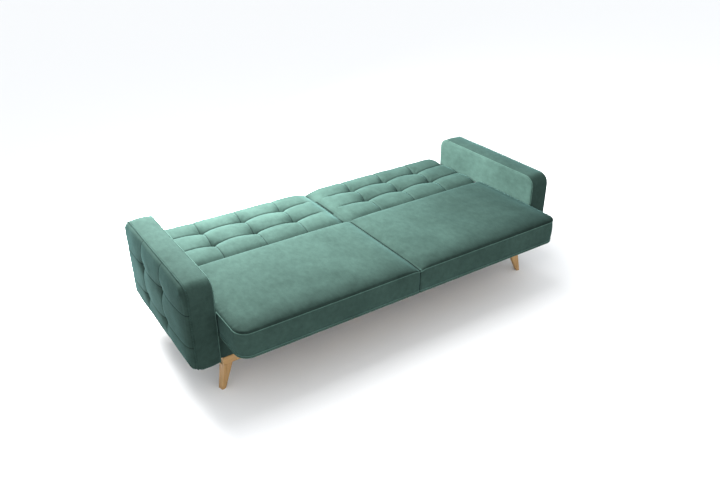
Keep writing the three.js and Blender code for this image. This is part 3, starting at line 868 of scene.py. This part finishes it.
def add_panel(name, node, body, sides, face):
    """A velvet-covered board: crowned a little on its face and rolled at its edges.

    sides are the numbers of the two axes it spans, and face is 1 or -1 along the third."""
    low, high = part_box(node)
    across, along = sides
    through = 3 - across - along
    width, height = (high - low)[across], (high - low)[along]

    def place(s, t, out):
        point = [None, None, None]
        point[across], point[along] = low[across] + s, low[along] + t
        point[through] = (high if face > 0 else low)[through] + face * out
        return np.stack(point, -1)

    depth = (high - low)[through] - PANEL_BACKING
    roll = min(PANEL_ROLL, depth * 0.8)
    rings = [(math.sin(a), 0, roll * (1 - math.cos(a))) for a in np.radians((30, 60, 90))]
    rings.append((1, 0, depth))
    shape = (PANEL_CELL, (PANEL_CORNER,) * 4, (roll,) * 4, rings, place)
    pad = Pad(name, [0, width], [0, height], *shape)
    points = points_of(pad.piece)
    s, t = points[:, across] - low[across], points[:, along] - low[along]
    crown = rise(np.minimum(np.minimum(s, width - s), np.minimum(t, height - t)) - PANEL_ROLL, 0.03)
    pad.push(PANEL_SWELL * crown * (1 + 0.3 * ripple(points, 0.12, SEED + 8)))
    dress(pad.piece, VELVET, body)
    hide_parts(node)


def dress_frame_parts():
    for entry in frame["record"]["subparts"]:
        node = frame["nodes"][entry["node"]]
        material = SLOT_MATERIALS[entry["material_slot"]]
        if entry["node"].endswith("_leg"):
            material = OAK_LEG
        node.data.materials.clear()
        node.data.materials.append(material)


# ---- stage --------------------------------------------------------------------------------
CAMERA_PLACE = (-1.8005, -2.7031, 2.1246)
CAMERA_PITCH = -0.5002
CAMERA_YAW = -0.5936
CAMERA_LENS = 34.41
CAMERA_SENSOR = 36
FLOOR_REACH = 40
FLOOR_COLOR = (0.822, 0.828, 0.838, 1)
WORLD_COLOR = (0.975, 0.99, 1.0, 1)
WORLD_STRENGTH = 1.17
LIGHT_TARGET = (0, 0, 0.3)
LIGHTS = {  # place, power in watts, size
    "key": ((-0.55, 1.1, 1.38), 318, 1.3),
    "rear_right": ((0.3, 1.3, 1.3), 16, 1.3),
    "overhead": ((0, 0, 2.4), 38, 1.3),
    "front": ((0, -2.6, 0.8), 12, 1.5),
}


def add_camera():
    camera = bpy.data.cameras.new("camera")
    camera.lens = CAMERA_LENS
    camera.sensor_width = CAMERA_SENSOR
    holder = bpy.data.objects.new("camera", camera)
    holder.location = CAMERA_PLACE
    holder.rotation_euler = (math.pi / 2 + CAMERA_PITCH, 0, CAMERA_YAW)
    bpy.context.scene.collection.objects.link(holder)
    bpy.context.scene.camera = holder


def add_light(name, place, power, size):
    """A soft square light aimed at the middle of the sofa."""
    light = bpy.data.lights.new(name, "AREA")
    light.energy = power
    light.size = size
    holder = bpy.data.objects.new(name, light)
    holder.location = place
    aim = Vector(LIGHT_TARGET) - Vector(place)
    holder.rotation_euler = aim.to_track_quat("-Z", "Y").to_euler()
    bpy.context.scene.collection.objects.link(holder)


def add_floor():
    corners = [(-1, -1, 0), (1, -1, 0), (1, 1, 0), (-1, 1, 0)]
    floor = new_object("floor", np.array(corners) * FLOOR_REACH, [[0, 1, 2, 3]])
    material, _, shader = node_material("pale_floor")
    shader.inputs["Base Color"].default_value = FLOOR_COLOR
    shader.inputs["Roughness"].default_value = 0.9
    floor.data.materials.append(material)


def add_stage():
    add_floor()
    world = bpy.data.worlds.new("studio")
    world.use_nodes = True
    background = world.node_tree.nodes["Background"]
    background.inputs["Color"].default_value = WORLD_COLOR
    background.inputs["Strength"].default_value = WORLD_STRENGTH
    bpy.context.scene.world = world
    for name, (place, power, size) in LIGHTS.items():
        add_light(name, place, power, size)
    bpy.context.scene.view_settings.view_transform = "Standard"


# ---- assembly -----------------------------------------------------------------------------
dress_frame_parts()
for side in SIDES:
    add_seat(side)
    add_back(side)
    add_arm(side)
add_panel("front_apron_cover", "front_apron", "base", (0, 2), -1)
add_panel("rear_board_cover", "rear_board", "base", (0, 2), 1)
add_panel("back_panel_cover", "back_rear_panel", "back", (0, 1), -1)
add_camera()
add_stage()
